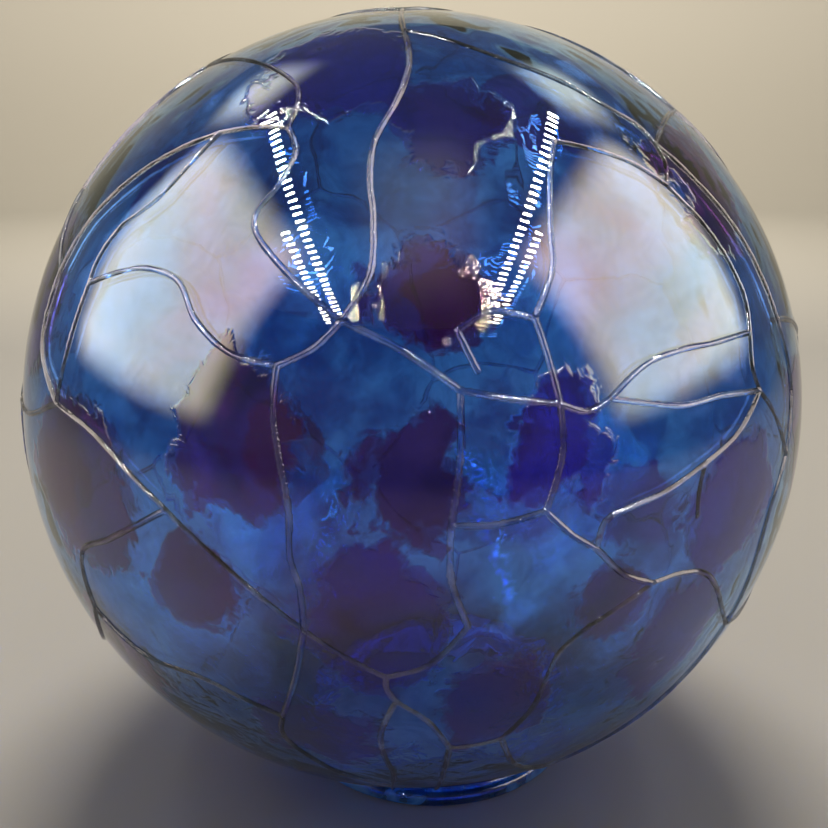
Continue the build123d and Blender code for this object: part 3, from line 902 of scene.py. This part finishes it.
# %% Lay the threads
SHORT_OF_FORK = 0.7 * MM
fork_owner = {}
webs = []
for web_name, trails in WEBS.items():
    points, edges = [], []
    for trail in trails:
        route = [on_ball(*(FORKS[p] if isinstance(p, str) else p)) for p in trail]
        for end, beside in ((0, 1), (-1, -2)):
            is_fork = isinstance(trail[end], str)
            if is_fork and fork_owner.setdefault(trail[end], web_name) != web_name:
                route[end] = route[end] + (route[beside] - route[end]).normalized() * SHORT_OF_FORK
        first = len(points)
        points += route
        edges += [(first + k, first + k + 1) for k in range(len(route) - 1)]
    wire = bpy.data.meshes.new(web_name + "_wire")
    wire.from_pydata(points, edges, [])
    maker = bpy.data.objects.new(web_name + "_wire", wire)
    bpy.context.scene.collection.objects.link(maker)
    modifier = maker.modifiers.new("raise_web", "NODES")
    modifier.node_group = web_tree
    for item in web_tree.interface.items_tree:
        if item.in_out == "INPUT" and item.name == "Material":
            modifier[item.identifier] = thread_glass
        elif item.in_out == "INPUT" and item.name in WEB_INPUTS:
            modifier[item.identifier] = WEB_INPUTS[item.name][1]
    bpy.context.view_layer.update()
    depsgraph = bpy.context.evaluated_depsgraph_get()
    web_mesh = bpy.data.meshes.new_from_object(maker.evaluated_get(depsgraph), depsgraph=depsgraph)
    web_mesh.name = web_name + "_threads"
    maker.modifiers.clear()
    bpy.data.objects.remove(maker)
    web = bpy.data.objects.new(web_name + "_threads", web_mesh)
    bpy.context.scene.collection.objects.link(web)
    webs.append((web, web_name))
    print(web.name, len(trails), "threads,", len(web_mesh.polygons), "faces")

# %% [markdown]
# ## The fitter collar
# The ball's neck: a ring of thick blue glass whose lip is turned out and fire-polished, so
# every corner of it is round and catches a bright line. It is turned like a pot, from a
# profile that goes up the outside, over the top and down the bore. Its top follows the ball,
# a little inside the wall, so that ring and ball read as one glass.

# %% Turn the collar
ROUND_STEPS, COLLAR_AROUND = 6, 256
LAP = 2.5 * MM  # how far into the ball's wall the collar reaches


def corner(centre_r, centre_z, radius, start, stop):
    """A quarter round of the profile, as (radius, height) points."""
    turns = np.radians(np.linspace(start, stop, ROUND_STEPS))
    return [(centre_r + radius * math.cos(t), centre_z + radius * math.sin(t)) for t in turns]


SOFT = 1.2 * MM  # the fire-polished corners of the lip
profile = corner(BORE_R + SOFT, SOFT, SOFT, 180, 270)
profile += corner(LIP_R - SOFT, SOFT, SOFT, -90, 0)
profile += corner(LIP_R - SOFT, LIP_H - SOFT, SOFT, 0, 75)
profile += [(NECK_R + 0.35 * MM, LIP_H + 0.5 * MM), (NECK_R, LIP_H + 1.5 * MM)]
rings = [[(r * math.cos(t), r * math.sin(t), z) for r, z in profile] for t in
         np.arange(COLLAR_AROUND) / COLLAR_AROUND * 2 * math.pi]


def ball_height(x, y, radius):
    """Height of the underside of a sphere about the ball's centre."""
    return BALL.z - math.sqrt(radius**2 - (x - BALL.x) ** 2 - (y - BALL.y) ** 2)


TOP_STEPS = 5
NECK_SHARES = (0.35, 0.7, 1.0)  # how far up the neck each of its rings stands
points, faces = [], []
for ring in rings:
    x, y, _ = ring[-1]
    way = Vector((x, y, 0)).normalized()
    seat = ball_height(x, y, BALL_R)
    low = ring[-1][2]
    for share in NECK_SHARES:
        ring.append((x, y, low + (seat - low) * share))
    for step in range(TOP_STEPS + 1):
        r = NECK_R + (BORE_R - NECK_R) * step / TOP_STEPS
        p = way * r
        ring.append((p.x, p.y, ball_height(p.x, p.y, BALL_R - LAP)))
    points += ring
count = len(rings[0])
for a in range(COLLAR_AROUND):
    b = (a + 1) % COLLAR_AROUND
    for k in range(count):
        n = (k + 1) % count
        faces.append((a * count + k, b * count + k, b * count + n, a * count + n))
collar_mesh = bpy.data.meshes.new("collar_ring")
collar_mesh.from_pydata(points, [], faces)
collar_mesh.polygons.foreach_set("use_smooth", [True] * len(faces))
collar_ring = bpy.data.objects.new("collar_ring", collar_mesh)
bpy.context.scene.collection.objects.link(collar_ring)
print("collar:", len(faces), "faces")

# %% [markdown]
# ## The glass of the collar
# The same blue soda glass, thicker and so purer in colour. It has no chips in it. Where a noise
# swirl runs high, the blue turns paler and part of the light is scattered: painted light, patchy
# blue glints that stand in for the light the ball focuses onto its collar. The lip is smooth from
# the flame.

# %% Collar glass
collar_glass, tree = new_material("fire_polished_blue_glass")
place = about_ball(tree)
# Painted light: where this swirl is high, the collar is paler blue and partly scattering, as glints
# of light focused through the ball
painted_glint_swirl = ramp(tree, noise(tree, place, 14, 3, 1.5), 0.35, 0.7)
mixed = blend_colours(tree, painted_glint_swirl, colour("#1E74F0"), colour("#58A8FF"))
wave = add(
    tree, "ShaderNodeBump", {"Height": noise(tree, place, 6, 2)},
    Strength=0.5, Distance=0.15 * MM,
)
shader = add(
    tree, "ShaderNodeBsdfPrincipled",
    {
        "Base Color": mixed,
        "Normal": wave.outputs[0],
        "Transmission Weight": ramp(tree, painted_glint_swirl, 0.0, 1.0, 0.9, 0.45),
    },
    Roughness=0.02, IOR=1.5, Specular_IOR_Level=0.7,
)
finish_material(tree, shader)
collar_mesh.materials.append(collar_glass)
print("collar glass:", len(tree.nodes), "nodes")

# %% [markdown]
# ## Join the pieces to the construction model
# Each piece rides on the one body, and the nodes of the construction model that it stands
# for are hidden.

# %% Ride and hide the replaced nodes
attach(glass_ball, "root")
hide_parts("globe_shell", *CHIPS)
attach(collar_ring, "root")
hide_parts("fitter_collar")
for web, web_name in webs:
    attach(web, "root")
    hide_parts(web_name)
